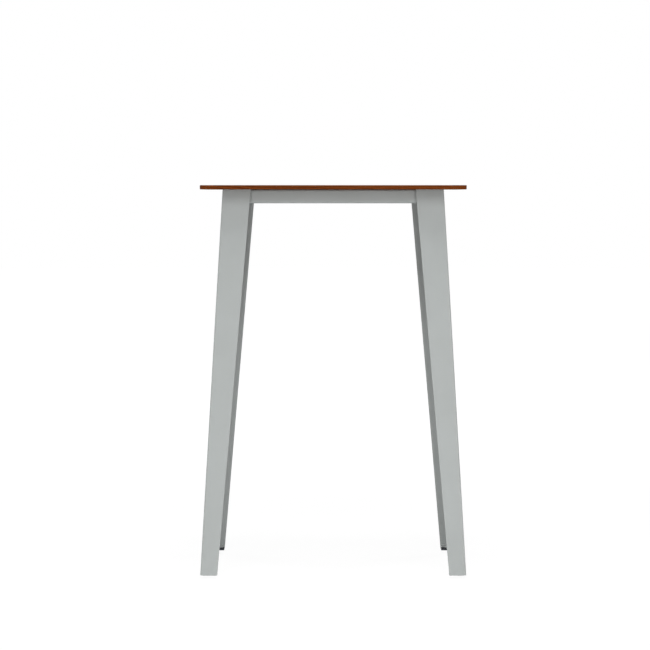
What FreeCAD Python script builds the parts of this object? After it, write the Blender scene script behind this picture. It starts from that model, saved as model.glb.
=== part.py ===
import FreeCAD, Part
import math
import os

# A square bar table. Four tapered angle legs, folded from steel sheet, carry
# four folded steel aprons and a thin wooden top, and stand on levelling feet.
# Lengths are in millimetres. The origin is on the floor under the middle of
# the top, X runs along the front to the right, Y to the back and Z up.

Vector = FreeCAD.Vector
ORIGIN = Vector(0, 0, 0)
UP = Vector(0, 0, 1)

# The whole table
TABLE_HEIGHT = 1100.0
CUT_OVERRUN = 5.0  # how far a cutting shape runs past what it cuts
THREAD_CLEARANCE = 0.05  # radial, between a plain shank and its plain nut

# Wooden top
TOP_SIDE = 750.0
TOP_THICKNESS = 12.0
TOP_CORNER_RADIUS = 12.0
TOP_ARRIS_RADIUS = 1.5
TOP_OVERHANG = 62.5  # past the outer faces of the legs, where these meet the top

# Legs: each has two wings, one along each side of the table
LEG_SHEET = 3.0
LEG_BEND_RADIUS = 1.5  # inside the fold
LEG_WING_AT_FLOOR = 48.0
LEG_WING_AT_TOP = 79.5
LEG_FLOOR_GAP = 1.0
SHEET_EDGE_BREAK = 0.4

# Aprons: channels with the web behind the leg wings and both flanges inward.
# The collars of the studs keep them off the wings
APRON_SHEET = 2.0
APRON_BEND_RADIUS = 4.0  # inside the folds
APRON_HEIGHT = 39.2
APRON_FLANGE = 22.0
APRON_END_GAP = 5.0  # from the web's end to the next leg wing
APRON_MITRE_GAP = 0.6

# Gussets: plates under the mitres of the apron flanges
GUSSET_SHEET = 3.0
GUSSET_PAST_SCREW = 14.0  # from the axis of a top screw to the end of the plate
GUSSET_TIP = 17.0
GUSSET_CORNER_CUT = 6.0
GUSSET_BEND_GAP = 0.5  # from the inside fold of the apron

# Studs welded on the leg wings, and their flange nuts
STUD_DIAMETER = 6.0
STUD_LENGTH = 16.0
STUD_END_CHAMFER = 0.8
STUD_COLLAR_DIAMETER = 11.0
STUD_COLLAR_THICKNESS = 2.0
STUD_HOLE_PLAY = 0.25
STUD_FROM_CORNER = 28.0
STUD_PITCH = 28.0
STUDS_PER_WING = 2
NUT_ACROSS_FLATS = 10.0
NUT_HEIGHT = 6.0
NUT_FLANGE_DIAMETER = 14.2
NUT_FLANGE_THICKNESS = 1.2
NUT_CHAMFER = 0.5

# Screws, washers and threaded inserts that hold the top
SCREW_DIAMETER = 5.0
SCREW_LENGTH = 12.0
SCREW_HEAD_DIAMETER = 9.5
SCREW_HEAD_HEIGHT = 3.0
SCREW_HEAD_ROUND = 1.2
SCREW_SOCKET_FLATS = 3.0
SCREW_SOCKET_DEPTH = 1.8
SCREW_END_CHAMFER = 0.6
SCREW_HOLE_PLAY = 0.5
SCREW_FROM_CORNER = 62.0
SLOT_TRAVEL = 5.0  # lets the wood move across its grain
WASHER_DIAMETER = 10.0
WASHER_THICKNESS = 1.0
WASHER_PLAY = 0.15
INSERT_DIAMETER = 8.0
INSERT_LENGTH = 9.0
INSERT_POCKET_PLAY = 0.4  # below the insert's blind end
INSERT_WALL_CLEARANCE = 0.02

# Foot plates, weld nuts and levelling feet
PAD_SIDE = 43.0
PAD_CORNER_RADIUS = 5.0
PAD_HEIGHT = 8.0
PAD_TOP_ROUND = 2.0
PAD_BOTTOM_ROUND = 0.8
PAD_WALL_GAP = 1.0  # from the leg wings
PAD_STOP_GAP = 0.3  # under the foot plate, with the foot wound right in
FOOT_PLATE_THICKNESS = 4.0
FOOT_PLATE_INSET = 1.5  # from the free edges of the leg wings
FOOT_PLATE_FOLD_CUT = 3.0
FOOT_PLATE_FREE_CUT = 14.0
LEVELLER_DIAMETER = 8.0
LEVELLER_HOLE_PLAY = 0.5
LEVELLER_TIP_ABOVE_NUT = 14.0
LEVELLER_END_CHAMFER = 1.0
LEVELLER_SOCKET_FLATS = 4.0
LEVELLER_SOCKET_DEPTH = 5.0
LEVELLER_DISC_DIAMETER = 18.0
LEVELLER_DISC_THICKNESS = 2.5
LEVELLER_DISC_FLOOR = 2.5  # plastic under the disc
LEVELLER_DISC_PLAY = 0.2
LEVELLER_EDGE_ROUND = 0.3
WELD_NUT_ACROSS_FLATS = 13.0
WELD_NUT_HEIGHT = 6.5
WELD_NUT_CHAMFER = 0.8

# Worked out from the sizes above. The legs splay until their feet stand
# plumb under the edges of the top.
UNDERSIDE = TABLE_HEIGHT - TOP_THICKNESS
LEG_SPREAD_AT_FLOOR = TOP_SIDE
LEG_SPREAD_AT_TOP = TOP_SIDE - 2 * TOP_OVERHANG
LEAN = (LEG_SPREAD_AT_FLOOR - LEG_SPREAD_AT_TOP) / 2 / UNDERSIDE
LEAN_STRETCH = math.hypot(1, LEAN)  # level distance per distance square to a leaning face
LEG_WALL = LEG_SHEET * LEAN_STRETCH
APRON_WALL = APRON_SHEET * LEAN_STRETCH
APRON_BOTTOM = UNDERSIDE - APRON_HEIGHT
STUD_LEVEL = UNDERSIDE - APRON_HEIGHT / 2
FLANGE_UNDERSIDE = UNDERSIDE - APRON_SHEET
INWARD = Vector(0, 1, -LEAN).normalize()  # square to the front, into the table

SIDES = ("front", "right", "rear", "left")
CORNERS = ("front_left", "front_right", "rear_right", "rear_left")
QUARTER_TURN = 90.0
FULL_TURN = 360.0
HEX_SIDES = 6


def leg_reach(z):
    """From the middle of the table to the outer face of a leg at height z."""
    return LEG_SPREAD_AT_FLOOR / 2 - LEAN * z


def wing_width(z):
    """Width of a leg wing at height z."""
    return LEG_WING_AT_FLOOR + (LEG_WING_AT_TOP - LEG_WING_AT_FLOOR) * z / UNDERSIDE


def wing_reach(z):
    """From the middle of the table to the inner face of a leg wing at height z."""
    return leg_reach(z) - LEG_WALL


def apron_reach(z):
    """From the middle to the outer face of an apron, which lies on the studs' collars."""
    return wing_reach(z) - STUD_COLLAR_THICKNESS * LEAN_STRETCH


SCREW_DEPTH = (APRON_WALL + APRON_BEND_RADIUS + APRON_FLANGE) / 2  # middle of the flange's flat
SCREW_REACH = apron_reach(UNDERSIDE) - SCREW_DEPTH
SCREW_PLACES = (
    -(leg_reach(UNDERSIDE) - SCREW_FROM_CORNER),
    0,
    leg_reach(UNDERSIDE) - SCREW_FROM_CORNER,
)
FOOT_REACH = wing_reach(PAD_HEIGHT) - PAD_WALL_GAP - PAD_SIDE / 2
FOOT_PLATE_BOTTOM = PAD_HEIGHT + PAD_STOP_GAP
FOOT_PLATE_TOP = FOOT_PLATE_BOTTOM + FOOT_PLATE_THICKNESS
LEVELLER_TOP = FOOT_PLATE_TOP + WELD_NUT_HEIGHT + LEVELLER_TIP_ABOVE_NUT


def rounded_wire(corners, radii):
    """A closed flat wire through the corners, each turned with its own radius."""
    turns = []
    for i, corner in enumerate(corners):
        back = (corners[i - 1] - corner).normalize()
        ahead = (corners[(i + 1) % len(corners)] - corner).normalize()
        half_angle = back.getAngle(ahead) / 2
        setback = radii[i] / math.tan(half_angle)
        bulge = radii[i] / math.sin(half_angle) - radii[i]
        middle = corner + (back + ahead).normalize() * bulge
        turns.append((corner + back * setback, middle, corner + ahead * setback))
    edges = []
    for i, (start, middle, end) in enumerate(turns):
        if radii[i] > 0:
            edges.append(Part.Arc(start, middle, end).toShape())
        edges.append(Part.makeLine(end, turns[(i + 1) % len(turns)][0]))
    return Part.Wire(edges)


def level_wire(points, radii, z):
    """A rounded wire through points in plan, at height z."""
    return rounded_wire([Vector(x, y, z) for x, y in points], radii)


def turned_solid(profile, radii):
    """A solid turned about Z from (radius, height) points."""
    wire = rounded_wire([Vector(r, 0, z) for r, z in profile], radii)
    return Part.Face(wire).revolve(ORIGIN, UP, FULL_TURN)


def hex_prism(across_flats, height):
    """A plain hexagonal prism standing on the origin."""
    radius = across_flats / 2 / math.cos(math.pi / HEX_SIDES)
    corners = []
    for i in range(HEX_SIDES):
        angle = 2 * math.pi * i / HEX_SIDES
        corners.append(Vector(radius * math.cos(angle), radius * math.sin(angle), 0))
    return Part.Face(Part.makePolygon(corners + corners[:1])).extrude(UP * height)


def hex_nut(across_flats, height, bore, chamfer):
    """A bored hexagon whose upper corners are turned off."""
    corner_radius = across_flats / 2 / math.cos(math.pi / HEX_SIDES)
    profile = [(0, 0), (corner_radius, 0), (corner_radius, height - chamfer),
               (corner_radius - 2 * chamfer, height), (0, height)]
    blank = turned_solid(profile, [0] * len(profile))
    return hex_prism(across_flats, height).common(blank).cut(Part.makeCylinder(bore, height))


def quarter_turned(shape, quarters):
    """A copy of a shape, turned about the middle of the table."""
    copy = shape.copy()
    copy.rotate(ORIGIN, UP, QUARTER_TURN * quarters)
    return copy


def on_all_sides(solids):
    """Copies of the front's solids for all four sides, as one group."""
    group = []
    for quarters in range(len(SIDES)):
        group += [quarter_turned(solid, quarters) for solid in solids]
    return Part.makeCompound(group)


def tabletop():
    """The board, with its corners rounded and its arrises eased, bored for the inserts."""
    edge = TOP_SIDE / 2
    plan = [(-edge, -edge), (edge, -edge), (edge, edge), (-edge, edge)]
    wire = level_wire(plan, [TOP_CORNER_RADIUS] * len(plan), UNDERSIDE)
    board = Part.Face(wire).extrude(UP * TOP_THICKNESS)
    level_edges = [e for e in board.Edges if e.BoundBox.ZLength < TOP_ARRIS_RADIUS]
    board = board.makeFillet(min(TOP_ARRIS_RADIUS, TOP_THICKNESS / 3), level_edges)
    radius = INSERT_DIAMETER / 2 + INSERT_WALL_CLEARANCE
    depth = INSERT_LENGTH + INSERT_POCKET_PLAY
    pockets = []
    for x in SCREW_PLACES:
        foot = Vector(x, -SCREW_REACH, UNDERSIDE - CUT_OVERRUN)
        pockets.append(Part.makeCylinder(radius, depth + CUT_OVERRUN, foot))
    return board.cut(on_all_sides(pockets))


def leg_section(z):
    """The front left leg's angle section at height z."""
    outside = -leg_reach(z)
    inside = outside + LEG_WALL
    tip = outside + wing_width(z)
    plan = [(tip, outside), (outside, outside), (outside, tip),
            (inside, tip), (inside, inside), (tip, inside)]
    radii = [SHEET_EDGE_BREAK, LEG_BEND_RADIUS + LEG_WALL, SHEET_EDGE_BREAK,
             SHEET_EDGE_BREAK, LEG_BEND_RADIUS, SHEET_EDGE_BREAK]
    return level_wire(plan, radii, z)


def leg():
    """The front left leg, which tapers and leans two ways."""
    return Part.makeLoft([leg_section(LEG_FLOOR_GAP), leg_section(UNDERSIDE)], True, True)


def stud_points():
    """Centres of the studs on the inner faces of the two front leg wings."""
    y = -wing_reach(STUD_LEVEL)
    points = []
    for i in range(STUDS_PER_WING):
        x = leg_reach(STUD_LEVEL) - STUD_FROM_CORNER - i * STUD_PITCH
        points += [Vector(-x, y, STUD_LEVEL), Vector(x, y, STUD_LEVEL)]
    return points


def apron_profile():
    """The front apron's channel section, square to X, at the middle of the table."""
    top = -apron_reach(UNDERSIDE)
    bottom = -apron_reach(APRON_BOTTOM)
    web_top = -apron_reach(FLANGE_UNDERSIDE) + APRON_WALL
    web_bottom = -apron_reach(APRON_BOTTOM + APRON_SHEET) + APRON_WALL
    section = [
        (top + APRON_FLANGE, UNDERSIDE), (top, UNDERSIDE),
        (bottom, APRON_BOTTOM), (bottom + APRON_FLANGE, APRON_BOTTOM),
        (bottom + APRON_FLANGE, APRON_BOTTOM + APRON_SHEET),
        (web_bottom, APRON_BOTTOM + APRON_SHEET), (web_top, FLANGE_UNDERSIDE),
        (top + APRON_FLANGE, FLANGE_UNDERSIDE),
    ]
    outer_bend = APRON_BEND_RADIUS + APRON_SHEET
    radii = [SHEET_EDGE_BREAK, outer_bend, outer_bend, SHEET_EDGE_BREAK,
             SHEET_EDGE_BREAK, APRON_BEND_RADIUS, APRON_BEND_RADIUS, SHEET_EDGE_BREAK]
    return rounded_wire([Vector(0, y, z) for y, z in section], radii)


def mitre_wedge():
    """The front quarter of the plan, less half the mitre gap, as a cutting shape."""
    far = LEG_SPREAD_AT_FLOOR
    gap = APRON_MITRE_GAP / 2 * math.sqrt(2)
    apex = Vector(0, -gap, APRON_BOTTOM - CUT_OVERRUN)
    corners = [apex, apex + Vector(-far, -far, 0), apex + Vector(far, -far, 0)]
    height = APRON_HEIGHT + 2 * CUT_OVERRUN
    return Part.Face(Part.makePolygon(corners + corners[:1])).extrude(UP * height)


def screw_slot(x):
    """A cutting shape for the slot that a top screw goes through."""
    radius = SCREW_DIAMETER / 2 + SCREW_HOLE_PLAY
    bottom = FLANGE_UNDERSIDE - CUT_OVERRUN
    height = APRON_SHEET + 2 * CUT_OVERRUN
    start = Vector(x - SLOT_TRAVEL / 2, -SCREW_REACH, bottom)
    end = Vector(x + SLOT_TRAVEL / 2, -SCREW_REACH, bottom)
    slot = Part.makeBox(SLOT_TRAVEL, 2 * radius, height, start - Vector(0, radius, 0))
    for point in (start, end):
        slot = slot.fuse(Part.makeCylinder(radius, height, point))
    return slot


def apron():
    """The front apron: a channel with mitred flanges, stud holes and screw slots."""
    half_length = wing_reach(UNDERSIDE) - APRON_END_GAP
    wire = apron_profile()
    wire.translate(Vector(-half_length, 0, 0))
    channel = Part.Face(wire).extrude(Vector(2 * half_length, 0, 0))
    channel = channel.common(mitre_wedge())
    hole = STUD_DIAMETER / 2 + STUD_HOLE_PLAY
    reach = STUD_COLLAR_THICKNESS + APRON_SHEET + 2 * CUT_OVERRUN
    cuts = [screw_slot(x) for x in SCREW_PLACES]
    for point in stud_points():
        start = point - INWARD * CUT_OVERRUN
        cuts.append(Part.makeCylinder(hole, reach, start, INWARD))
    return channel.cut(cuts)


def gusset():
    """The front left gusset, which laps under two apron flanges."""
    bend = APRON_WALL + APRON_BEND_RADIUS + GUSSET_BEND_GAP
    near = -apron_reach(FLANGE_UNDERSIDE) + bend
    far = SCREW_PLACES[0] + GUSSET_PAST_SCREW
    cut = GUSSET_CORNER_CUT
    plan = [(near + cut, near), (far, near), (far, near + GUSSET_TIP),
            (near + GUSSET_TIP, far), (near, far), (near, near + cut)]
    wire = level_wire(plan, [SHEET_EDGE_BREAK] * len(plan), FLANGE_UNDERSIDE - GUSSET_SHEET)
    plate = Part.Face(wire).extrude(UP * GUSSET_SHEET)
    holes = []
    for x, y in ((SCREW_PLACES[0], -SCREW_REACH), (-SCREW_REACH, SCREW_PLACES[0])):
        foot = Vector(x, y, FLANGE_UNDERSIDE - GUSSET_SHEET - CUT_OVERRUN)
        radius = SCREW_DIAMETER / 2 + SCREW_HOLE_PLAY
        holes.append(Part.makeCylinder(radius, GUSSET_SHEET + 2 * CUT_OVERRUN, foot))
    return plate.cut(holes)


def weld_stud():
    """A stud along Z, its welded collar on the origin."""
    collar = STUD_COLLAR_DIAMETER / 2
    shank = STUD_DIAMETER / 2
    profile = [(0, 0), (collar, 0), (collar, STUD_COLLAR_THICKNESS), (shank, STUD_COLLAR_THICKNESS),
               (shank, STUD_LENGTH - STUD_END_CHAMFER),
               (shank - STUD_END_CHAMFER, STUD_LENGTH), (0, STUD_LENGTH)]
    return turned_solid(profile, [0] * len(profile))


def flange_nut():
    """A flange nut along Z, its flange on the origin."""
    bore = STUD_DIAMETER / 2 + THREAD_CLEARANCE
    flange = Part.makeCylinder(NUT_FLANGE_DIAMETER / 2, NUT_FLANGE_THICKNESS)
    flange = flange.cut(Part.makeCylinder(bore, NUT_FLANGE_THICKNESS))
    body = hex_nut(NUT_ACROSS_FLATS, NUT_HEIGHT, bore, NUT_CHAMFER)
    return body.fuse(flange).removeSplitter()


def on_studs(solid, depth):
    """Copies of a solid on every stud's axis, its origin that deep behind the leg wings."""
    copies = []
    for point in stud_points():
        copy = solid.copy()
        turn = FreeCAD.Rotation(UP, INWARD)
        copy.Placement = FreeCAD.Placement(point + INWARD * depth, turn)
        copies.append(copy)
    return on_all_sides(copies)


def top_screw():
    """A screw along Z whose head sits below the origin and whose shank rises above it."""
    head = SCREW_HEAD_DIAMETER / 2
    shank = SCREW_DIAMETER / 2
    profile = [(0, -SCREW_HEAD_HEIGHT), (head, -SCREW_HEAD_HEIGHT), (head, 0), (shank, 0),
               (shank, SCREW_LENGTH - SCREW_END_CHAMFER),
               (shank - SCREW_END_CHAMFER, SCREW_LENGTH), (0, SCREW_LENGTH)]
    radii = [0, SCREW_HEAD_ROUND, 0, 0, 0, 0, 0]
    socket = hex_prism(SCREW_SOCKET_FLATS, SCREW_SOCKET_DEPTH + CUT_OVERRUN)
    socket.translate(Vector(0, 0, -SCREW_HEAD_HEIGHT - CUT_OVERRUN))
    return turned_solid(profile, radii).cut(socket)


def top_washer():
    """A washer along Z, under the origin."""
    foot = Vector(0, 0, -WASHER_THICKNESS)
    bore = SCREW_DIAMETER / 2 + WASHER_PLAY
    ring = Part.makeCylinder(WASHER_DIAMETER / 2, WASHER_THICKNESS, foot)
    return ring.cut(Part.makeCylinder(bore, WASHER_THICKNESS, foot))


def threaded_insert():
    """A threaded bush along Z, above the origin."""
    bore = SCREW_DIAMETER / 2 + THREAD_CLEARANCE
    bush = Part.makeCylinder(INSERT_DIAMETER / 2, INSERT_LENGTH)
    return bush.cut(Part.makeCylinder(bore, INSERT_LENGTH))


def under_top(solid, levels):
    """Copies of a solid at the top screws, at the levels for the left, middle and right one."""
    copies = []
    for x, z in zip(SCREW_PLACES, levels):
        copy = solid.copy()
        copy.translate(Vector(x, -SCREW_REACH, z))
        copies.append(copy)
    return on_all_sides(copies)


def foot_plate_section(z):
    """The front left foot plate's outline at height z, against both leg wings."""
    wall = -wing_reach(z)
    edge = -leg_reach(z) + wing_width(z) - FOOT_PLATE_INSET
    plan = [(wall + FOOT_PLATE_FOLD_CUT, wall), (edge, wall), (edge, edge - FOOT_PLATE_FREE_CUT),
            (edge - FOOT_PLATE_FREE_CUT, edge), (wall, edge), (wall, wall + FOOT_PLATE_FOLD_CUT)]
    return level_wire(plan, [SHEET_EDGE_BREAK] * len(plan), z)


def foot_plate():
    """The plate welded across the front left leg, bored for the levelling stud."""
    sections = [foot_plate_section(FOOT_PLATE_BOTTOM), foot_plate_section(FOOT_PLATE_TOP)]
    radius = LEVELLER_DIAMETER / 2 + LEVELLER_HOLE_PLAY
    foot = Vector(-FOOT_REACH, -FOOT_REACH, FOOT_PLATE_BOTTOM - CUT_OVERRUN)
    hole = Part.makeCylinder(radius, FOOT_PLATE_THICKNESS + 2 * CUT_OVERRUN, foot)
    return Part.makeLoft(sections, True, True).cut(hole)


def at_foot(solid, z):
    """A solid moved to the front left foot's axis at height z."""
    solid.translate(Vector(-FOOT_REACH, -FOOT_REACH, z))
    return solid


def weld_nut():
    """The nut on the front left foot plate."""
    bore = LEVELLER_DIAMETER / 2 + THREAD_CLEARANCE
    nut = hex_nut(WELD_NUT_ACROSS_FLATS, WELD_NUT_HEIGHT, bore, WELD_NUT_CHAMFER)
    return at_foot(nut, FOOT_PLATE_TOP)


def foot_pad():
    """The front left pad, kept square to the leg by its wings, with a pocket for the stud's disc."""
    half = PAD_SIDE / 2
    plan = [(-half, -half), (half, -half), (half, half), (-half, half)]
    wire = level_wire(plan, [PAD_CORNER_RADIUS] * len(plan), 0)
    pad = Part.Face(wire).extrude(UP * PAD_HEIGHT)
    pad = pad.makeFillet(PAD_TOP_ROUND, [e for e in pad.Edges if e.BoundBox.ZMin > PAD_HEIGHT / 2])
    pad = pad.makeFillet(PAD_BOTTOM_ROUND, [e for e in pad.Edges if e.BoundBox.ZMax < PAD_HEIGHT / 2])
    pocket_radius = LEVELLER_DISC_DIAMETER / 2 + LEVELLER_DISC_PLAY
    pocket_height = LEVELLER_DISC_THICKNESS + LEVELLER_DISC_PLAY
    pocket = Part.makeCylinder(pocket_radius, pocket_height, Vector(0, 0, LEVELLER_DISC_FLOOR))
    neck_radius = LEVELLER_DIAMETER / 2 + LEVELLER_DISC_PLAY
    neck = Part.makeCylinder(neck_radius, PAD_HEIGHT, Vector(0, 0, LEVELLER_DISC_FLOOR))
    return at_foot(pad.cut([pocket, neck]), 0)


def levelling_stud():
    """The front left stud: a disc in the pad, a shank through the nut and a socket on top."""
    disc = LEVELLER_DISC_DIAMETER / 2
    shank = LEVELLER_DIAMETER / 2
    bottom = LEVELLER_DISC_FLOOR + LEVELLER_DISC_PLAY / 2
    disc_top = bottom + LEVELLER_DISC_THICKNESS
    profile = [(0, bottom), (disc, bottom), (disc, disc_top), (shank, disc_top),
               (shank, LEVELLER_TOP - LEVELLER_END_CHAMFER),
               (shank - LEVELLER_END_CHAMFER, LEVELLER_TOP), (0, LEVELLER_TOP)]
    radii = [0, LEVELLER_EDGE_ROUND, LEVELLER_EDGE_ROUND, 0, 0, 0, 0]
    socket = hex_prism(LEVELLER_SOCKET_FLATS, LEVELLER_SOCKET_DEPTH + CUT_OVERRUN)
    socket.translate(Vector(0, 0, LEVELLER_TOP - LEVELLER_SOCKET_DEPTH))
    return at_foot(turned_solid(profile, radii).cut(socket), 0)


def all_pieces():
    """Every piece of the table, by name."""
    pieces = {"tabletop": tabletop()}
    for quarters, side in enumerate(SIDES):
        pieces["apron_" + side] = quarter_turned(apron(), quarters)
    corner_makers = {
        "leg": leg,
        "gusset": gusset,
        "foot_plate": foot_plate,
        "foot_weld_nut": weld_nut,
        "foot_pad": foot_pad,
        "foot_stud": levelling_stud,
    }
    for name, make in corner_makers.items():
        front_left = make()
        for quarters, corner in enumerate(CORNERS):
            pieces[name + "_" + corner] = quarter_turned(front_left, quarters)
    pieces["leg_weld_studs"] = on_studs(weld_stud(), 0)
    pieces["leg_flange_nuts"] = on_studs(flange_nut(), STUD_COLLAR_THICKNESS + APRON_SHEET)
    at_gusset = FLANGE_UNDERSIDE - GUSSET_SHEET
    seats = (at_gusset, FLANGE_UNDERSIDE, at_gusset)
    pieces["top_washers"] = under_top(top_washer(), seats)
    pieces["top_screws"] = under_top(top_screw(), [z - WASHER_THICKNESS for z in seats])
    pieces["top_threaded_inserts"] = under_top(threaded_insert(), [UNDERSIDE] * len(seats))
    return pieces


os.makedirs("parts", exist_ok=True)
for piece_name, piece_shape in all_pieces().items():
    piece_shape.exportStep("parts/" + piece_name + ".step")
    print(piece_name, len(piece_shape.Solids), "solids, valid:", piece_shape.isValid(),
          "volume: %.1f" % piece_shape.Volume)
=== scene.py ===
# %% [markdown]
# # A bar table in painted steel and stained wood
#
# The CAD model gives every part of this table at its real size. This lesson dresses it. It builds the
# finishes, which are powder coat, stained wood, moulded plastic, zinc and brass. It adds the small things
# that a maker would miss, such as threads and weld beads. Then it photographs the table on a white floor
# through a long lens.

# %% Load the frame
import math

import bpy
from mathutils import Matrix, Vector


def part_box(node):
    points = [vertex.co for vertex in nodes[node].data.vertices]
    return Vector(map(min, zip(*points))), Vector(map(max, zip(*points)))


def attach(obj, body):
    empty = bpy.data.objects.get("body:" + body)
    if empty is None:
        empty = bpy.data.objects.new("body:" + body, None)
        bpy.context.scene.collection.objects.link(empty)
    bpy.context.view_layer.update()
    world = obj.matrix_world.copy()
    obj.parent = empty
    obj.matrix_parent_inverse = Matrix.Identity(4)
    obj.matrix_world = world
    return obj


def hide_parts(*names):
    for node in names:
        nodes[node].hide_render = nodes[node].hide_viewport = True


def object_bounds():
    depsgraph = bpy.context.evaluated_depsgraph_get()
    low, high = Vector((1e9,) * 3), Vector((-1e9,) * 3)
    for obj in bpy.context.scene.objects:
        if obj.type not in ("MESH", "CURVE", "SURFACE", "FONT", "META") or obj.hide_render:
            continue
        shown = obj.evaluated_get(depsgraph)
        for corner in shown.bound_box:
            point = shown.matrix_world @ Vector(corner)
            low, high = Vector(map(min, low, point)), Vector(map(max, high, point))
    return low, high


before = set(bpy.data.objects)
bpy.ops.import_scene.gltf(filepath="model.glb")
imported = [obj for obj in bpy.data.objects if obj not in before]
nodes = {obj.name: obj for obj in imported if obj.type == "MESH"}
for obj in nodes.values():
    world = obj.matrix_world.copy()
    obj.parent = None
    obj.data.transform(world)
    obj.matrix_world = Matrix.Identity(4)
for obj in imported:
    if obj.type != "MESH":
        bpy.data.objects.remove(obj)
cad_low, cad_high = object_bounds()
print("CAD parts:", len(nodes), "box:", [round(high - low, 4) for low, high in zip(cad_low, cad_high)])

# %% [markdown]
# ## Shader maths as Python
#
# A material is a graph of nodes, and arithmetic on values means one Math node for each operation. Wiring
# those by hand hides the formula. A small class that wraps a socket lets the formula be written as
# Python: `1 - mask` adds a Math node and returns its output. Every other kind of node comes from one
# method, `node`.


# %% A socket that does arithmetic
class Wire:
    """The output socket of a node. Arithmetic on it adds Math nodes to the same tree."""

    def __init__(self, tree, socket=None):
        self.tree = tree
        self.socket = socket

    def node(self, kind, settings=None, inputs=None, output=0):
        """Add a node: its settings first, then the values or links of its inputs."""
        made = self.tree.nodes.new(kind)
        for name, value in (settings or {}).items():
            if name == "stops":
                set_stops(made.color_ramp, value)
            else:
                setattr(made, name, value)
        for name, value in (inputs or {}).items():
            if isinstance(value, Wire):
                self.tree.links.new(value.socket, made.inputs[name])
            else:
                made.inputs[name].default_value = value
        return Wire(self.tree, made.outputs[output] if made.outputs else None)

    def math(self, operation, *others):
        """A Math node on this value and the others, in order."""
        return self.node("ShaderNodeMath", {"operation": operation}, dict(enumerate((self, *others))))

    def __add__(self, other):
        return self.math("ADD", other)

    def __sub__(self, other):
        return self.math("SUBTRACT", other)

    def __rsub__(self, other):
        return self.node("ShaderNodeMath", {"operation": "SUBTRACT"}, {0: other, 1: self})

    def __mul__(self, other):
        return self.math("MULTIPLY", other)

    def __truediv__(self, other):
        return self.math("DIVIDE", other)

    def __pow__(self, other):
        return self.math("POWER", other)

    __radd__ = __add__
    __rmul__ = __mul__

    def step(self, low, high):
        """0 below low, 1 above high, smooth between them. The limits may come in either order."""
        ramp = {"interpolation_type": "SMOOTHSTEP"}
        return self.node("ShaderNodeMapRange", ramp, {0: self, 1: low, 2: high, 3: 0.0, 4: 1.0})


def set_stops(ramp, stops):
    """Give a colour ramp its (position, colour) stops."""
    while len(ramp.elements) < len(stops):
        ramp.elements.new(1.0)
    for element, (position, colour) in zip(ramp.elements, stops):
        element.position = position
        element.color = rgba(colour)


def rgba(colour):
    """A colour with full alpha, as sockets want it."""
    return (*colour, 1.0)


# %% [markdown]
# Colours are mixed with Mix nodes and places with Vector Math, because a Math node would turn both into
# one number. The helpers below name those two. Every pattern is placed by object coordinates: the parts
# sit at the origin and are measured in metres, so a noise scale of 500 is a grain of 2 mm.


# %% Colours and places
MIX_FACTOR, MIX_FIRST, MIX_SECOND, MIX_COLOUR = 0, 6, 7, 2  # a colour Mix node's sockets


def mix(factor, first, second):
    """A colour Mix node. Plain colours and wires can both be mixed."""
    first, second = (rgba(end) if isinstance(end, tuple) else end for end in (first, second))
    inputs = {MIX_FACTOR: factor, MIX_FIRST: first, MIX_SECOND: second}
    return factor.node("ShaderNodeMix", {"data_type": "RGBA"}, inputs, MIX_COLOUR)


def place(wire):
    """Object coordinates, in metres."""
    return wire.node("ShaderNodeTexCoord", output="Object")


def stretched(point, scale):
    """A place with each axis scaled."""
    return point.node("ShaderNodeVectorMath", {"operation": "MULTIPLY"}, {0: point, 1: scale})


def axes(point):
    """The three numbers of a place."""
    first = point.node("ShaderNodeSeparateXYZ", inputs={0: point})
    return [Wire(point.tree, output) for output in first.socket.node.outputs]


def joined(x, y, z):
    """A place from three numbers."""
    wire = next(value for value in (x, y, z) if isinstance(value, Wire))
    return wire.node("ShaderNodeCombineXYZ", inputs={0: x, 1: y, 2: z})


# %% [markdown]
# Two noises draw everything that isn't even on these finishes: a soft one for clouds and fibres, and
# scattered points for crystals. A bump turns either into relief, and its distance is a real height, so
# the relief stays right when the lamps move.


# %% Noises and relief
def noise(point, scale, detail, roughness=0.5):
    """Soft noise from 0 to 1."""
    inputs = {"Vector": point, "Scale": scale, "Detail": detail, "Roughness": roughness}
    return point.node("ShaderNodeTexNoise", inputs=inputs)


def dots(point, scale):
    """Distance to the nearest of many scattered points, in cells."""
    inputs = {"Vector": point, "Scale": scale}
    return point.node("ShaderNodeTexVoronoi", {"voronoi_dimensions": "3D"}, inputs, "Distance")


def bump(height, distance, strength):
    """A bumped normal. Height is 0 to 1, and distance says how many metres that is."""
    inputs = {"Height": height, "Distance": distance, "Strength": strength}
    return height.node("ShaderNodeBump", inputs=inputs)


# %% [markdown]
# A finish is a Principled shader. What changes over the surface is passed in as a wire, and what is the
# same all over, such as the gloss of a coat, is set on the shader's own socket.


# %% A finish
def new_material(name, shader_of):
    """A material whose surface is the shader that shader_of(wire) returns."""
    material = bpy.data.materials.new(name)
    material.use_nodes = True
    material.node_tree.nodes.clear()
    start = Wire(material.node_tree)
    start.node("ShaderNodeOutputMaterial", inputs={"Surface": shader_of(start)})
    return material


def finish(name, surface):
    """A material with a Principled shader. surface(wire) returns the shader's inputs by socket name."""
    made = new_material(name, lambda wire: wire.node("ShaderNodeBsdfPrincipled", inputs=surface(wire)))
    print("finish", name, "with", len(made.node_tree.nodes), "nodes")
    return made


# %% [markdown]
# ## Powder coat
#
# The legs and aprons are sprayed with dry paint powder and baked. The paint flows into a skin with a
# fine orange-peel ripple, about a millimetre across, and a satin gloss. Two noises make the ripple, and
# a third moves the tone by up to three percent, as on any sprayed sheet.

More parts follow.
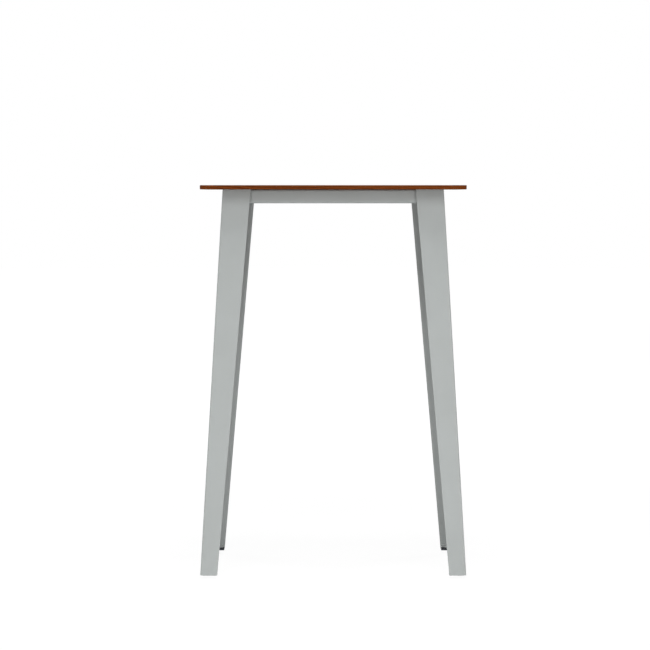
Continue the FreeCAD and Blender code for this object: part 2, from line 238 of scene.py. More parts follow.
# %% The paint
MM = 0.001  # Blender works in metres
COATING_IOR = 1.5  # paint, lacquer and plastic bend light about alike
PAINT_COLOUR = (0.462, 0.486, 0.479)
PAINT_SHADE = (0.448, 0.471, 0.463)
PAINT_CLOUDS = 9.0  # spots per metre, and so are the next two
PAINT_RIPPLE = 700.0
PAINT_GRAIN = 2600.0
PAINT_RELIEF = 0.03 * MM


def powder_coat(wire):
    point = place(wire)
    cloud = noise(point, PAINT_CLOUDS, 3.0).step(0.3, 0.7)
    ripple = noise(point, PAINT_RIPPLE, 1.0)
    grain = noise(point, PAINT_GRAIN, 0.0)
    return {
        "Base Color": mix(cloud, PAINT_COLOUR, PAINT_SHADE),
        "Roughness": 0.46 + 0.08 * grain,
        "Normal": bump(0.75 * ripple + 0.25 * grain, PAINT_RELIEF, 0.6),
        "IOR": COATING_IOR,
        "Specular IOR Level": 0.4,
    }


paint = finish("powder_coat", powder_coat)

# %% [markdown]
# ## Stained wood
#
# The top is a board glued up from staves. An image of wood would have to be laid on each face and would
# not meet at the arrises. Wood is a solid, so its figure is written here as one pattern in three
# dimensions, which every face cuts for itself. First come the staves. They run along X, and their widths
# differ a little.

# %% Staves
STAVE_WIDTH = 72.5 * MM
STAVE_UNEVENNESS = 4.0 * MM  # how much the widths differ
STAVE_CHANGES = 9.0  # changes of width per metre
GLUE_LINE = 0.3 * MM


def staves(point, y):
    """The number of the stave at a place, how far across it the place is (0 to 1), and the glue line."""
    uneven = noise(stretched(point, (0.0, STAVE_CHANGES, 0.0)), 1.0, 0.0)
    across = (y + STAVE_UNEVENNESS * uneven) / STAVE_WIDTH
    stave = across.math("FLOOR")
    in_stave = across - stave
    from_middle = (in_stave - 0.5).math("ABSOLUTE")
    glue = from_middle.step(0.5 - GLUE_LINE / STAVE_WIDTH, 0.5)
    return stave, in_stave, glue


def random_for(stave, seed):
    """A random number from 0 to 1 for each stave."""
    inputs = {"Vector": joined(stave, seed, 0.0)}
    return stave.node("ShaderNodeTexWhiteNoise", {"noise_dimensions": "2D"}, inputs)


print("staves in the top:", round((cad_high[1] - cad_low[1]) / STAVE_WIDTH, 1))

# %% [markdown]
# Growth rings are cylinders round the pith. The pith lies far under the board here, so the rings cross
# the board almost flat, as in a plank sawn from the side of a log. A slow noise makes them wander, and
# where they rise through the upper face they draw its arches. Each stave takes a piece of log of its own
# by moving the pith. The late wood of a year darkens slowly and ends at a sharp line.

# %% Growth rings
RING_SPACING = 4.2 * MM
RING_UNEVENNESS = 6.0 * MM
PITH_FROM_EDGE = 0.15  # the pith's least distance from a stave's edge, as a share of its width
PITH_SHIFT = 18.0 * MM
PITH_SPREAD = 50.0 * MM  # how much the staves differ in their distance from the pith
PITH_WANDER = 50.0 * MM
PITH_SWAY = 12.0 * MM
SWAY_RATE = 3.1  # radians per metre
WANDER_RATES = (3.2, 9.6)  # changes per metre along the log and across it
UNEVEN_RATES = (6.0, 72.0)
WANDER_SHIFT = 1.0 / 3.0  # metres across the log from stave to stave
LATE_WOOD_FROM = 0.35  # shares of a year, and so are the next two
LATE_WOOD_FULL = 0.93
LATE_WOOD_END = 0.95
BOARD_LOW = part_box("tabletop")[0][2]


def wood_noise(along, y, z, rates, detail, roughness=0.5):
    """Noise that is drawn out along the log."""
    lengthwise, across = rates
    return noise(joined(along * lengthwise, y * across, z * across), 1.0, detail, roughness)


def late_wood_at(along, y, z, stave, from_pith, spread):
    """How far a place is into the late wood of its year, from 0 to 1."""
    wander = wood_noise(along, y + WANDER_SHIFT * stave, z, WANDER_RATES, 2.0, 0.45)
    sway = (along * SWAY_RATE).math("SINE")
    above_pith = z + PITH_SHIFT + PITH_SPREAD * spread + PITH_WANDER * (wander - 0.5) + PITH_SWAY * sway
    to_pith = joined(0.0, from_pith, above_pith)
    radius = to_pith.node("ShaderNodeVectorMath", {"operation": "LENGTH"}, {0: to_pith}, "Value")
    uneven = wood_noise(along, y, z, UNEVEN_RATES, 3.0)
    year = ((radius + RING_UNEVENNESS * (uneven - 0.5)) / RING_SPACING).math("FRACT")
    return year.step(LATE_WOOD_FROM, LATE_WOOD_FULL) * (1.0 - year.step(LATE_WOOD_END, 1.0))


print("rings through the board:", round((cad_high[2] - BOARD_LOW) / RING_SPACING, 1))

# %% [markdown]
# Fibres, streaks and pores are noises drawn out along the log. Late wood is dark by itself, and pores
# take up more of the stain. Three colours on a ramp turn the sum of it all into a tone. A satin lacquer
# lies on the upper face and fades round its arris. The underside is raw wood, duller and rougher. Its
# paler colour also reaches up over the lowest 1.6 mm of the edge as a painted highlight, a lighter band
# that stands in for light caught by the lower arris.

# %% The wood
WOOD_DARK = (0.048, 0.0080, 0.0012)
WOOD_MID = (0.150, 0.0335, 0.0048)
WOOD_LIGHT = (0.262, 0.0720, 0.0125)
# The raw underside's colour, which is also a painted highlight along the lowest part of the edge
UNDERSIDE_AND_PAINTED_HIGHLIGHT = (0.105, 0.0430, 0.0180)
WOOD_RELIEF = 0.06 * MM
FIBRE_RATES = (10.0, 900.0)
STREAK_RATES = (1.6, 110.0)
PORE_RATES = (38.0, 1500.0)
STREAK_SHIFT = 7.0 / 110.0  # metres from stave to stave
STAVE_SEEDS = (1.3, 7.7, 13.1)
LOG_SHIFT = 5.0  # metres along the log between the staves that lie farthest apart in it
LACQUER_FROM = cad_high[2] - 1.4 * MM
LACQUER_FULL = cad_high[2] - 0.1 * MM
# Limits of the raw underside and of the painted highlight on the lower arris
RAW_AND_HIGHLIGHT_BELOW = BOARD_LOW + 0.2 * MM
RAW_AND_HIGHLIGHT_UP_TO = BOARD_LOW + 1.6 * MM


def stained_wood(wire):
    point = place(wire)
    x, y, z = axes(point)
    stave, in_stave, glue = staves(point, y)
    shift, side, spread = (random_for(stave, seed) for seed in STAVE_SEEDS)
    along = x + LOG_SHIFT * shift
    from_pith = (in_stave - PITH_FROM_EDGE - (1.0 - 2 * PITH_FROM_EDGE) * side) * STAVE_WIDTH
    late_wood = late_wood_at(along, y, z, stave, from_pith, spread)
    fibre = wood_noise(along, y, z, FIBRE_RATES, 3.0, 0.6)
    streak = wood_noise(along, y, z + STREAK_SHIFT * stave, STREAK_RATES, 2.0)
    pores = wood_noise(along, y, z, PORE_RATES, 0.0).step(0.66, 0.76) * (0.35 + 0.65 * late_wood)

    tone = 0.46 + 0.34 * (spread - 0.5) + 0.34 * (streak - 0.5) + 0.3 * (fibre - 0.5) - 0.26 * late_wood
    stops = [(0.12, WOOD_DARK), (0.42, WOOD_MID), (0.82, WOOD_LIGHT)]
    stain = tone.node("ShaderNodeValToRGB", {"stops": stops}, {0: tone})
    stain = mix(0.75 * pores, stain, WOOD_DARK)
    stain = mix(0.8 * glue, stain, WOOD_DARK)
    # Mask of the raw underside and of a painted highlight along the lowest 1.6 mm of the edge, standing
    # in for light caught by the lower arris
    raw_and_painted_highlight = 1.0 - z.step(RAW_AND_HIGHLIGHT_BELOW, RAW_AND_HIGHLIGHT_UP_TO)
    height = 0.4 * fibre + 0.3 * (1.0 - late_wood) - 0.6 * pores - 0.8 * glue
    return {
        "Base Color": mix(0.6 * raw_and_painted_highlight, stain, UNDERSIDE_AND_PAINTED_HIGHLIGHT),
        "Roughness": 0.46 + 0.10 * fibre + 0.15 * pores + 0.40 * raw_and_painted_highlight,
        "Normal": bump(height, WOOD_RELIEF, 0.5),
        "IOR": COATING_IOR,
        "Specular IOR Level": 0.05,
        "Coat Weight": 0.25 * z.step(LACQUER_FROM, LACQUER_FULL),
        "Coat Roughness": 0.28,
    }


wood = finish("stained_wood", stained_wood)

# %% [markdown]
# ## Moulded plastic
#
# The pads under the feet are moulded in black plastic. The mould was spark-eroded, which leaves a fine
# even texture. The floor scuffs the pads and wears their lowest rim grey. That grey rim is also a
# painted reflection: it stands in for the pale floor mirrored in the rounded lower edge, and it is what
# shows of the pads from afar. Height over the floor is the mask of both.

# %% The plastic
PLASTIC_COLOUR = (0.0085, 0.0105, 0.0140)
PLASTIC_SCUFFED = (0.0160, 0.0180, 0.0220)
# Grey of the lowest rim: floor wear, and a painted reflection of the pale floor in the rounded lower edge
PLASTIC_WORN_AND_PAINTED_REFLECTION = (0.135, 0.150, 0.172)
PLASTIC_TEXTURE = 2200.0  # spots per metre
PLASTIC_SCRATCHES = 160.0
PLASTIC_RELIEF = 0.06 * MM
# Heights over the floor of the worn rim and its painted reflection
WORN_AND_REFLECTION_UP_TO = 2.6 * MM
WORN_AND_REFLECTION_FULLY_UP_TO = 1.2 * MM


def black_plastic(wire):
    point = place(wire)
    height = axes(point)[2]
    texture = noise(point, PLASTIC_TEXTURE, 2.0)
    scratches = noise(stretched(point, (1.0, 1.0, 3.0)), PLASTIC_SCRATCHES, 4.0, 0.7)
    scuffed = mix(scratches.step(0.55, 0.75), PLASTIC_COLOUR, PLASTIC_SCUFFED)
    # Mask of the worn rim and of the painted reflection of the floor in the pad's rounded lower edge
    worn_and_painted_reflection = height.step(WORN_AND_REFLECTION_UP_TO, WORN_AND_REFLECTION_FULLY_UP_TO) * (0.6 + 0.4 * scratches.step(0.3, 0.6))
    return {
        "Base Color": mix(worn_and_painted_reflection, scuffed, PLASTIC_WORN_AND_PAINTED_REFLECTION),
        "Roughness": 0.46 + 0.16 * texture + 0.15 * worn_and_painted_reflection,
        "Normal": bump(texture, PLASTIC_RELIEF, 0.7),
        "IOR": COATING_IOR,
        "Specular IOR Level": 0.35,
    }


plastic = finish("black_plastic", black_plastic)

# %% [markdown]
# ## Zinc and brass
#
# Studs, nuts, screws and washers are zinc plated: a soft grey metal with small crystals. The bushes in
# the wood are turned brass, which has no crystals to show. Metals show mostly what they mirror, tinted
# by their own colour, so a cloud in the roughness does more for them than one in the colour.

# %% The metals
ZINC_DARK = (0.52, 0.535, 0.55)
ZINC_LIGHT = (0.66, 0.665, 0.66)
ZINC_CRYSTALS = 2400.0  # per metre
ZINC_CLOUDS = 300.0
ZINC_RELIEF = 0.01 * MM
BRASS_DARK = (0.62, 0.43, 0.17)
BRASS_LIGHT = (0.78, 0.58, 0.27)
BRASS_CLOUDS = 420.0


def zinc_plate(wire):
    point = place(wire)
    crystal = dots(point, ZINC_CRYSTALS)
    cloud = noise(point, ZINC_CLOUDS, 3.0)
    return {
        "Base Color": mix(cloud, ZINC_DARK, ZINC_LIGHT),
        "Metallic": 1.0,
        "Roughness": 0.26 + 0.16 * cloud + 0.08 * crystal,
        "Normal": bump(crystal, ZINC_RELIEF, 0.35),
    }


def turned_brass(wire):
    cloud = noise(place(wire), BRASS_CLOUDS, 2.0)
    return {
        "Base Color": mix(cloud, BRASS_DARK, BRASS_LIGHT),
        "Metallic": 1.0,
        "Roughness": 0.28 + 0.14 * cloud,
    }


zinc = finish("zinc_plate", zinc_plate)
brass = finish("turned_brass", turned_brass)

# %% [markdown]
# ## Finishes on the CAD parts
#
# The parts' names begin with what they are, such as `leg_front_left`, so a short table from name to
# finish covers them all. Where two entries fit, as `leg` and `leg_weld_studs` do, the longer one counts.

# %% Put the finishes on
FINISH_OF = {
    "tabletop": wood,
    "apron": paint,
    "leg": paint,
    "gusset": paint,
    "foot_plate": paint,
    "foot_weld_nut": paint,
    "foot_pad": plastic,
    "foot_stud": zinc,
    "leg_weld_studs": zinc,
    "leg_flange_nuts": zinc,
    "top_washers": zinc,
    "top_screws": zinc,
    "top_threaded_inserts": brass,
}

for name, part in nodes.items():
    entry = max((key for key in FINISH_OF if name.startswith(key)), key=len)
    part.data.materials.clear()
    part.data.materials.append(FINISH_OF[entry])
print("finished", len(nodes), "parts")

# %% [markdown]
# ## Threads
#
# The CAD studs are plain cylinders. A real thread is one groove wound round the shank. Blender's Screw
# modifier could wind a profile into one, but its start and its end then need closing by hand. Here the
# surface is a stack of rings, each with as many points as the next. The radius of a point depends on its
# height and its angle: the groove climbs by one pitch in a full turn, and it runs out into the plain
# shank by itself.

# %% Rings
RING_POINTS = 36  # a multiple of six, so that a hexagon's corners fall on points
THREAD_DEPTH = 0.6134  # of the pitch, for a metric thread
THREAD_FLAT = 0.1  # how much of the profile is flat at the crest, and as much at the root
THREAD_STEPS = 8  # rings per pitch


def ring(radius_at, height):
    """A level ring about Z. radius_at gives the radius for an angle."""
    angles = [2 * math.pi * i / RING_POINTS for i in range(RING_POINTS)]
    return [(radius_at(a) * math.cos(a), radius_at(a) * math.sin(a), height) for a in angles]


def turned(*profile):
    """Rings of a turned shape, from its (radius, height) steps."""
    return [ring(lambda angle, radius=radius: radius, height) for radius, height in profile]


def hexagon(across_flats):
    """The radius of a hexagon at an angle, with its corners at 0, 60, 120 degrees and so on."""
    def radius_at(angle):
        from_flat = (angle % (math.pi / 3)) - math.pi / 6
        return across_flats / 2 / math.cos(from_flat)
    return radius_at


def thread(radius, pitch, height, fade=1.0):
    """The radius of a thread at this height. A fade of 0 has no groove and 1 has the whole."""
    def radius_at(angle):
        phase = (height / pitch - angle / (2 * math.pi)) % 1.0
        flank = (abs(2 * phase - 1) - THREAD_FLAT) / (1 - 2 * THREAD_FLAT)
        return radius - THREAD_DEPTH * pitch * (1.0 - min(max(flank, 0.0), 1.0)) * fade
    return radius_at


def threaded(radius, pitch, start, end):
    """Rings of a thread from one height up to another, fading in over the first pitch."""
    steps = round((end - start) / pitch * THREAD_STEPS)
    levels = [start + (end - start) * i / steps for i in range(steps + 1)]
    return [ring(thread(radius, pitch, z, min(1.0, (z - start) / pitch)), z) for z in levels]


def chamfered(radius, pitch, start, size):
    """Rings of a thread's end, cut back by a chamfer that starts at this height."""
    rings = []
    for share in (0.5, 1.0):
        height = start + size * share
        cut = radius - size * share
        groove = thread(radius, pitch, height)
        rings.append(ring(lambda angle, cut=cut, groove=groove: min(cut, groove(angle)), height))
    return rings


print("corner of a hexagon 4 mm across its flats: at", round(hexagon(4.0)(0.0), 2), "mm")

# %% [markdown]
# Rings become a skin of quads, closed by a face at each end. Turning and placing is left to a matrix
# for each shape, so one stud can be made once and set down sixteen times in a single mesh.


# %% Rings into a mesh
def stacked(rings):
    """Points and faces of a closed skin over rings that turn anticlockwise, seen from the last one."""
    points = [point for level in rings for point in level]
    count = len(rings[0])
    faces = []
    for row in range(len(rings) - 1):
        for i in range(count):
            here, beside = row * count + i, row * count + (i + 1) % count
            faces.append((here, beside, beside + count, here + count))
    faces.append(tuple(reversed(range(count))))
    faces.append(tuple(range(len(points) - count, len(points))))
    return points, faces


def mesh_object(name, shapes, skin, smooth_below):
    """One object of many shapes, smooth where faces meet at less than an angle in degrees.

    Each shape is its points, its faces and the matrix that places it.
    """
    all_points, all_faces = [], []
    for points, faces, matrix in shapes:
        first = len(all_points)
        all_points += [tuple(matrix @ Vector(point)) for point in points]
        all_faces += [tuple(first + i for i in face) for face in faces]
    mesh = bpy.data.meshes.new(name)
    mesh.from_pydata(all_points, [], all_faces)
    mesh.materials.append(skin)
    mesh.validate()
    piece = bpy.data.objects.new(name, mesh)
    bpy.context.scene.collection.objects.link(piece)
    mesh.set_sharp_from_angle(angle=math.radians(smooth_below))
    return piece


def over_middle(node, level):
    """The place at a level over or under the middle of a CAD node."""
    low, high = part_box(node)
    return Vector(((low[0] + high[0]) / 2, (low[1] + high[1]) / 2, level))


print("faces over two rings:", len(stacked(turned((1.0, 0.0), (1.0, 1.0)))[1]))

# %% [markdown]
# ## Levelling studs
#
# Each foot has an M8 stud whose flat disc turns in the pad, and whose top has a socket for a 4 mm key.
# The stack of rings climbs the outside, goes over the top and down into the socket. Its sizes are those
# of the CAD node, which it replaces. It rides on the same body, so it turns as the foot is wound out.

# %% Four levelling studs
CORNERS = ("front_left", "front_right", "rear_right", "rear_left")
M8_PITCH = 1.25 * MM
SMALL_ROUND = 0.3 * MM
LEVELLER_RADIUS = 4.0 * MM
LEVELLER_DISC_THICKNESS = 2.5 * MM
LEVELLER_PLAIN = 1.5 * MM  # the shank between the disc and the thread
LEVELLER_CHAMFER = 1.0 * MM
SOCKET_ACROSS = 4.0 * MM
SOCKET_DEPTH = 5.0 * MM
SOCKET_FLOOR_RADIUS = 1.5 * MM
THREAD_SMOOTH_BELOW = 30.0  # degrees


def levelling_stud(bottom, top, disc_radius):
    """The rings of one stud, from the disc's underside to the socket's floor."""
    disc_top = bottom + LEVELLER_DISC_THICKNESS
    thread_top = top - LEVELLER_CHAMFER
    socket_floor = top - SOCKET_DEPTH
    socket = hexagon(SOCKET_ACROSS)
    rings = turned(
        (disc_radius - SMALL_ROUND, bottom),
        (disc_radius, bottom + SMALL_ROUND),
        (disc_radius, disc_top - SMALL_ROUND),
        (disc_radius - SMALL_ROUND, disc_top),
        (LEVELLER_RADIUS + SMALL_ROUND, disc_top),
        (LEVELLER_RADIUS, disc_top + SMALL_ROUND),
    )
    rings += threaded(LEVELLER_RADIUS, M8_PITCH, disc_top + LEVELLER_PLAIN, thread_top)
    rings += chamfered(LEVELLER_RADIUS, M8_PITCH, thread_top, LEVELLER_CHAMFER)
    rings.append(ring(lambda angle: socket(angle) + SMALL_ROUND / 2, top))
    rings.append(ring(socket, top - SMALL_ROUND))
    rings.append(ring(socket, socket_floor + SMALL_ROUND))
    rings += turned((SOCKET_FLOOR_RADIUS, socket_floor))
    return rings


for corner in CORNERS:
    low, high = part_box("foot_stud_" + corner)
    rings = levelling_stud(low[2], high[2], (high[0] - low[0]) / 2)
    spot = Matrix.Translation(over_middle("foot_stud_" + corner, 0.0))
    stud = mesh_object("levelling_stud_" + corner, [(*stacked(rings), spot)], zinc, THREAD_SMOOTH_BELOW)
    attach(stud, "foot_stud_" + corner)
    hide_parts("foot_stud_" + corner)
print("levelling stud:", len(stud.data.polygons), "faces, top at", round(high[2] / MM, 1), "mm")

# %% [markdown]
# ## Weld studs
#
# Sixteen M6 studs stand on the inner faces of the leg wings, square to the leaning sheet. Their collars
# hold the aprons off the paint, and their ends show past the nuts. The places are worked out from the
# lean of the legs, as in the CAD model, and then compared with the box of the node that the studs
# replace. Only what shows past a nut has a thread.

# %% One weld stud
STUD_RADIUS = 3.0 * MM
STUD_LENGTH = 16.0 * MM
STUD_CHAMFER = 0.8 * MM
STUD_THREAD_FROM = 8.0 * MM  # inside the nut, which ends at 10 mm
COLLAR_RADIUS = 5.5 * MM
COLLAR_THICKNESS = 2.0 * MM
M6_PITCH = 1.0 * MM

thread_top = STUD_LENGTH - STUD_CHAMFER
stud_rings = turned(
    (COLLAR_RADIUS, 0.0),
    (COLLAR_RADIUS, COLLAR_THICKNESS - SMALL_ROUND),
    (COLLAR_RADIUS - SMALL_ROUND, COLLAR_THICKNESS),
    (STUD_RADIUS, COLLAR_THICKNESS),
)
stud_rings += threaded(STUD_RADIUS, M6_PITCH, STUD_THREAD_FROM, thread_top)
stud_rings += chamfered(STUD_RADIUS, M6_PITCH, thread_top, STUD_CHAMFER)
stud_points, stud_faces = stacked(stud_rings)
print("weld stud:", len(stud_rings), "rings")

# %% [markdown]
# A leg's outer face runs from the floor, under the edge of the top, up to the overhang under it. That
# gives its distance from the middle of the table at any level, and the inner face is one sheet further
# in. The studs for one side of the table are then turned by quarters for the others.

# %% Sixteen weld studs
TABLE_UNDERSIDE = 1088.0 * MM
TOP_OVERHANG = 62.5 * MM
APRON_HEIGHT = 39.2 * MM
LEG_LEAN = TOP_OVERHANG / TABLE_UNDERSIDE
LEG_SHEET = 3.0 * MM
STUD_LEVEL = TABLE_UNDERSIDE - APRON_HEIGHT / 2
STUD_FROM_CORNER = 28.0 * MM
STUD_SPACING = 28.0 * MM


def outer_face(level):
    """How far a leg's outer face is from the middle of the table at a level."""
    return cad_high[0] - LEG_LEAN * level


def inner_face(level):
    """How far a leg's inner face is from the middle of the table at a level."""
    return outer_face(level) - LEG_SHEET * math.hypot(1.0, LEG_LEAN)


def quarter_turn(quarters):
    """The matrix that turns a shape about the table's axis by so many quarters."""
    return Matrix.Rotation(quarters * math.pi / 2, 4, "Z")


inward = Vector((0.0, 1.0, -LEG_LEAN)).normalized()
tilt = Vector((0.0, 0.0, 1.0)).rotation_difference(inward).to_matrix().to_4x4()
end_x = outer_face(STUD_LEVEL) - STUD_FROM_CORNER
studs = []
for quarters in range(4):
    for x in (-end_x, -end_x + STUD_SPACING, end_x - STUD_SPACING, end_x):
        foot = Matrix.Translation((x, -inner_face(STUD_LEVEL), STUD_LEVEL))
        studs.append((stud_points, stud_faces, quarter_turn(quarters) @ foot @ tilt))
weld_studs = mesh_object("weld_studs", studs, zinc, THREAD_SMOOTH_BELOW)
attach(weld_studs, "table")
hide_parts("leg_weld_studs")
reach = max(abs(vertex.co.x) for vertex in weld_studs.data.vertices)
off = (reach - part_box("leg_weld_studs")[1][0]) / MM
print("weld studs:", len(studs), "and their box is off the CAD box by", round(off, 3), "mm")

# %% [markdown]
# ## Weld beads
#
# The foot plates are welded to the leg wings along two edges, and the nuts are tacked to the plates at
# three flats. A weld bead is a row of frozen ripples, each a little over the last. A bevelled curve would
# be a plain tube, so the bead is swept here: at each step its section is a quarter round, whose size
# rises and falls once per ripple and whose middle lags behind its edges.

# %% A swept bead
BEAD_STEPS = 6  # sections per ripple
BEAD_SECTION_POINTS = 9
BEAD_RIPPLE = 1.3 * MM
BEAD_SWELL = 0.14  # of the size, once per ripple
BEAD_LAG = 0.45 * BEAD_RIPPLE
BEAD_FLATNESS = 0.78  # the section's radius at its edges, as a share of the fillet's leg
BEAD_CROWN = 0.10  # how much more it is in the middle
BEAD_END_SIZE = 0.25
BEAD_TAPER = 6.0  # how fast a bead reaches its full size, over its length
BEAD_ROOT = 0.2 * MM  # how deep it reaches into the plate and the wall
UP = Vector((0.0, 0.0, 1.0))


def weld_bead(start, end, side, leg):
    """A fillet bead from start to end, in the corner between a wall and the plate at its foot.

    side points from the wall over the plate, and is on the left of the way from start to end.
    """
    start, end, side = Vector(start), Vector(end), Vector(side)
    length = (end - start).length
    along = (end - start).normalized()
    steps = max(2, round(length / BEAD_RIPPLE)) * BEAD_STEPS
    sections = []
    for step in range(steps + 1):
        share = step / steps
        swell = math.sin(math.pi * (step % BEAD_STEPS) / BEAD_STEPS)
        taper = min(1.0, BEAD_END_SIZE + BEAD_TAPER * min(share, 1.0 - share))
        size = leg * taper * (1.0 - BEAD_SWELL + BEAD_SWELL * swell)
        section = []
        for i in range(BEAD_SECTION_POINTS):
            turn = math.pi / 2 * i / (BEAD_SECTION_POINTS - 1)
            crown = math.sin(2 * turn)
            middle = start + along * (length * share - BEAD_LAG * crown)
            outward = side * math.cos(turn) + UP * math.sin(turn)
            section.append(tuple(middle + outward * size * (BEAD_FLATNESS + BEAD_CROWN * crown)))
        section.append(tuple(start + along * length * share - (side + UP) * BEAD_ROOT))
        sections.append(section)
    return stacked(sections)


print("points round a bead:", BEAD_SECTION_POINTS + 1)

# %% [markdown]
# The beads are worked out for the front left foot, from its plate and its nut, and then turned by
# quarters for the others. Two long ones follow the walls and stop short of the corner, where a torch
# doesn't reach, and three short ones lie against flats of the nut.

# %% Beads on the feet
PLATE_BEAD = 3.0 * MM
NUT_BEAD = 1.8 * MM
BEAD_END_GAP = 4.0 * MM
NUT_HALF_FLATS = 6.5 * MM
NUT_TACKS = 3
NUT_TACK_HALF = 2.6 * MM
FIRST_TACK = math.pi / 6  # the angle of a flat
BEAD_SMOOTH_BELOW = 60.0  # degrees

plate_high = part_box("foot_plate_front_left")[1]
plate_top = plate_high[2]
wall = -inner_face(plate_top)
near, far = wall + BEAD_END_GAP, plate_high[0] - BEAD_END_GAP
beads = [
    weld_bead((near, wall, plate_top), (far, wall, plate_top), (0, 1, 0), PLATE_BEAD),
    weld_bead((wall, far, plate_top), (wall, near, plate_top), (1, 0, 0), PLATE_BEAD),
]
for tack in range(NUT_TACKS):
    angle = FIRST_TACK + tack * 2 * math.pi / NUT_TACKS
    out = Vector((math.cos(angle), math.sin(angle), 0.0))
    half = Vector((-out.y, out.x, 0.0)) * NUT_TACK_HALF
    foot = over_middle("foot_weld_nut_front_left", plate_top) + out * NUT_HALF_FLATS
    beads.append(weld_bead(foot + half, foot - half, out, NUT_BEAD))
for quarters, corner in enumerate(CORNERS):
    shapes = [(*bead, quarter_turn(quarters)) for bead in beads]
    piece = mesh_object("foot_weld_beads_" + corner, shapes, paint, BEAD_SMOOTH_BELOW)
    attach(piece, "table")
print("weld beads on each foot:", len(beads), "with", len(piece.data.polygons), "faces")

# %% [markdown]
# ## The floor
#
# The floor is a pale disc. Lamps alone would leave it grey, or burn out the paint on the legs. So
# emission lifts it almost to white for the camera and for mirror rays, and fully further out, so that
# there is no horizon. A quarter of the floor's own pale paint stays in view under the lamps, and that
# part keeps the table's shadow. The table stays where it is when a foot is wound out, so the floor lies
# just below where the feet reach then.

# %% A floor that is white for the camera
FLOOR_RADIUS = 40.0
FLOOR_CORNERS = 96
FLOOR_DROP = 10.1 * MM  # the feet wind out by 10 mm
FLOOR_PAINT = (0.60, 0.60, 0.60)
FLOOR_PAINT_SHARE = 0.25
FLOOR_LIFT = 0.93
WHITE_FROM = 2.0  # metres from the table
WHITE_BY = 5.0


def seen_directly(wire):
    """1 for camera, mirror and glass rays, 0 for the rays that light things."""
    kinds = ("Camera", "Glossy", "Transmission")
    first, second, third = (wire.node("ShaderNodeLightPath", output=f"Is {kind} Ray") for kind in kinds)
    return (first + second + third).math("MINIMUM", 1.0)


def floor_shader(wire):
    x, y = axes(place(wire))[:2]
    far_out = ((x * x + y * y) ** 0.5).step(WHITE_FROM, WHITE_BY)
    seen = seen_directly(wire)
    light = seen * (FLOOR_LIFT + (1.0 - FLOOR_LIFT) * far_out)
    lift = wire.node("ShaderNodeEmission", inputs={"Strength": light})
    painted = wire.node("ShaderNodeBsdfDiffuse", inputs={"Color": rgba(FLOOR_PAINT)})
    dimmed = wire.node("ShaderNodeMixShader", inputs={0: seen * (1.0 - FLOOR_PAINT_SHARE), 1: painted})
    return wire.node("ShaderNodeAddShader", inputs={0: dimmed, 1: lift})


bpy.ops.mesh.primitive_circle_add(vertices=FLOOR_CORNERS, radius=FLOOR_RADIUS, fill_type="NGON")
floor = bpy.context.object
floor.name = "floor"
floor.location = (0.0, 0.0, -FLOOR_DROP)
floor.data.materials.append(new_material("white_floor", floor_shader))
print("floor at", round(floor.location.z / MM, 1), "mm")

# %% [markdown]
# ## The world
#
# The world is white for the camera and in reflections too. As a light it is weak, because light from
# everywhere would fill the shade inside the legs and under the top.

# %% A white world that lights little
WORLD_STRENGTH = 0.06
WHITE = (1.0, 1.0, 1.0)

world = bpy.data.worlds.new("studio")
world.use_nodes = True
bpy.context.scene.world = world
world.node_tree.nodes.clear()
sky = Wire(world.node_tree)
strength = WORLD_STRENGTH + (1.0 - WORLD_STRENGTH) * seen_directly(sky)
background = sky.node("ShaderNodeBackground", inputs={"Color": rgba(WHITE), "Strength": strength})
sky.node("ShaderNodeOutputWorld", inputs={"Surface": background})
print("world strength as a light:", WORLD_STRENGTH)

# %% [markdown]
# ## The lamps
#
# The lamps are soft squares that the camera doesn't see. Two stand low in front, far to the left and
# right, so that both wings of each leg show. A large one lights from above the camera. A small one
# hangs high over the front edge and lets the top shade the upper ends of the legs. Two large fills
# behind keep the back and the sides of the table from going dark, and a small board in front, low down,
# does what a white floor does to feet. Those three aren't mirrored, because they would lie as pale
# patches on the lacquer and the steel. Together the lamps light a face at about the level at which a
# colour renders as it is written.

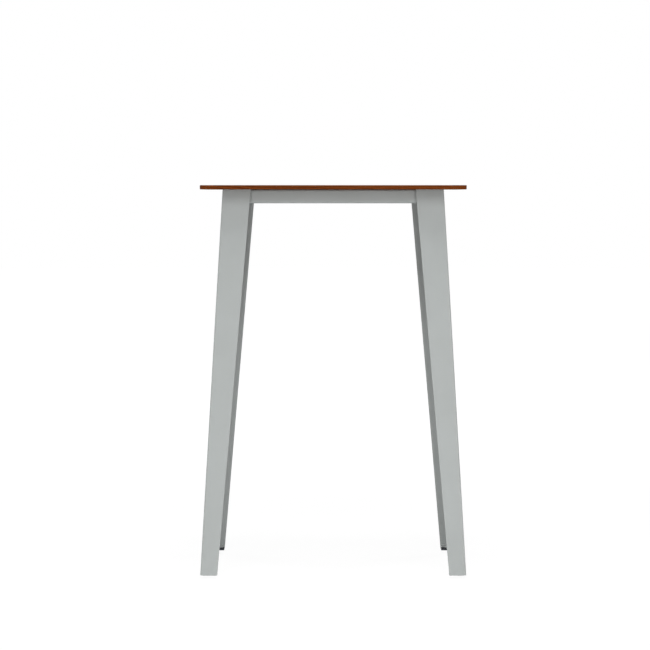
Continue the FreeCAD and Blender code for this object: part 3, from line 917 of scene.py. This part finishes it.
# %% Soft lamps
TABLE_MIDDLE = (0.0, 0.0, 0.6)
LAMPS = (
    # name, place, what it points to, side in metres, watts, whether surfaces mirror it
    ("front above", (0.0, -9.5, 6.1), TABLE_MIDDLE, 4.5, 305.0, True),
    ("front right", (6.1, -5.1, 1.0), TABLE_MIDDLE, 1.8, 160.0, True),
    ("front left", (-6.1, -5.1, 1.0), TABLE_MIDDLE, 1.8, 143.0, True),
    ("overhead", (0.0, -0.9, 3.4), TABLE_MIDDLE, 1.2, 38.0, True),
    ("front board", (0.0, -1.1, 0.2), (0.0, -0.3, 0.3), 0.4, 0.9, False),
    ("behind right", (7.0, 8.3, 2.5), TABLE_MIDDLE, 4.5, 400.0, False),
    ("behind left", (-7.0, 8.3, 2.5), TABLE_MIDDLE, 4.5, 400.0, False),
)

for name, spot, target, side, watts, mirrored in LAMPS:
    light = bpy.data.lights.new(name, "AREA")
    light.shape = "SQUARE"
    light.size = side
    light.energy = watts
    lamp = bpy.data.objects.new(name, light)
    bpy.context.scene.collection.objects.link(lamp)
    lamp.location = spot
    lamp.rotation_mode = "QUATERNION"
    lamp.rotation_quaternion = (Vector(target) - Vector(spot)).to_track_quat("-Z", "Y")
    lamp.visible_camera = False
    lamp.visible_glossy = mirrored
print("lamps:", len(LAMPS), "with", sum(watts for *_, watts, mirrored in LAMPS), "W")

# %% [markdown]
# ## The camera
#
# The photograph is almost level with the top, and its lines barely converge, so the camera stands far
# away and looks through a long lens. The distance, height and tilt come from where the edges of the top,
# the legs and the rear feet fall in the photograph.

# %% Camera
PHOTO_WIDTH = 650
SENSOR_WIDTH = 36.0
FOCAL_PIXELS = 3505.1
CAMERA_PLACE = (-0.0232, -10.2173, 1.0804)
CAMERA_TILT = 0.03789  # radians below the horizon
CAMERA_SIGHT = 200.0  # metres, well past the floor's rim

camera_data = bpy.data.cameras.new("camera")
camera_data.sensor_width = SENSOR_WIDTH
camera_data.lens = FOCAL_PIXELS / PHOTO_WIDTH * SENSOR_WIDTH
camera_data.clip_end = CAMERA_SIGHT
camera = bpy.data.objects.new("camera", camera_data)
camera.location = CAMERA_PLACE
camera.rotation_euler = (math.pi / 2 - CAMERA_TILT, 0.0, 0.0)
bpy.context.scene.collection.objects.link(camera)
bpy.context.scene.camera = camera
bpy.context.scene.view_settings.view_transform = "Standard"
print("lens", round(camera_data.lens, 1), "mm")
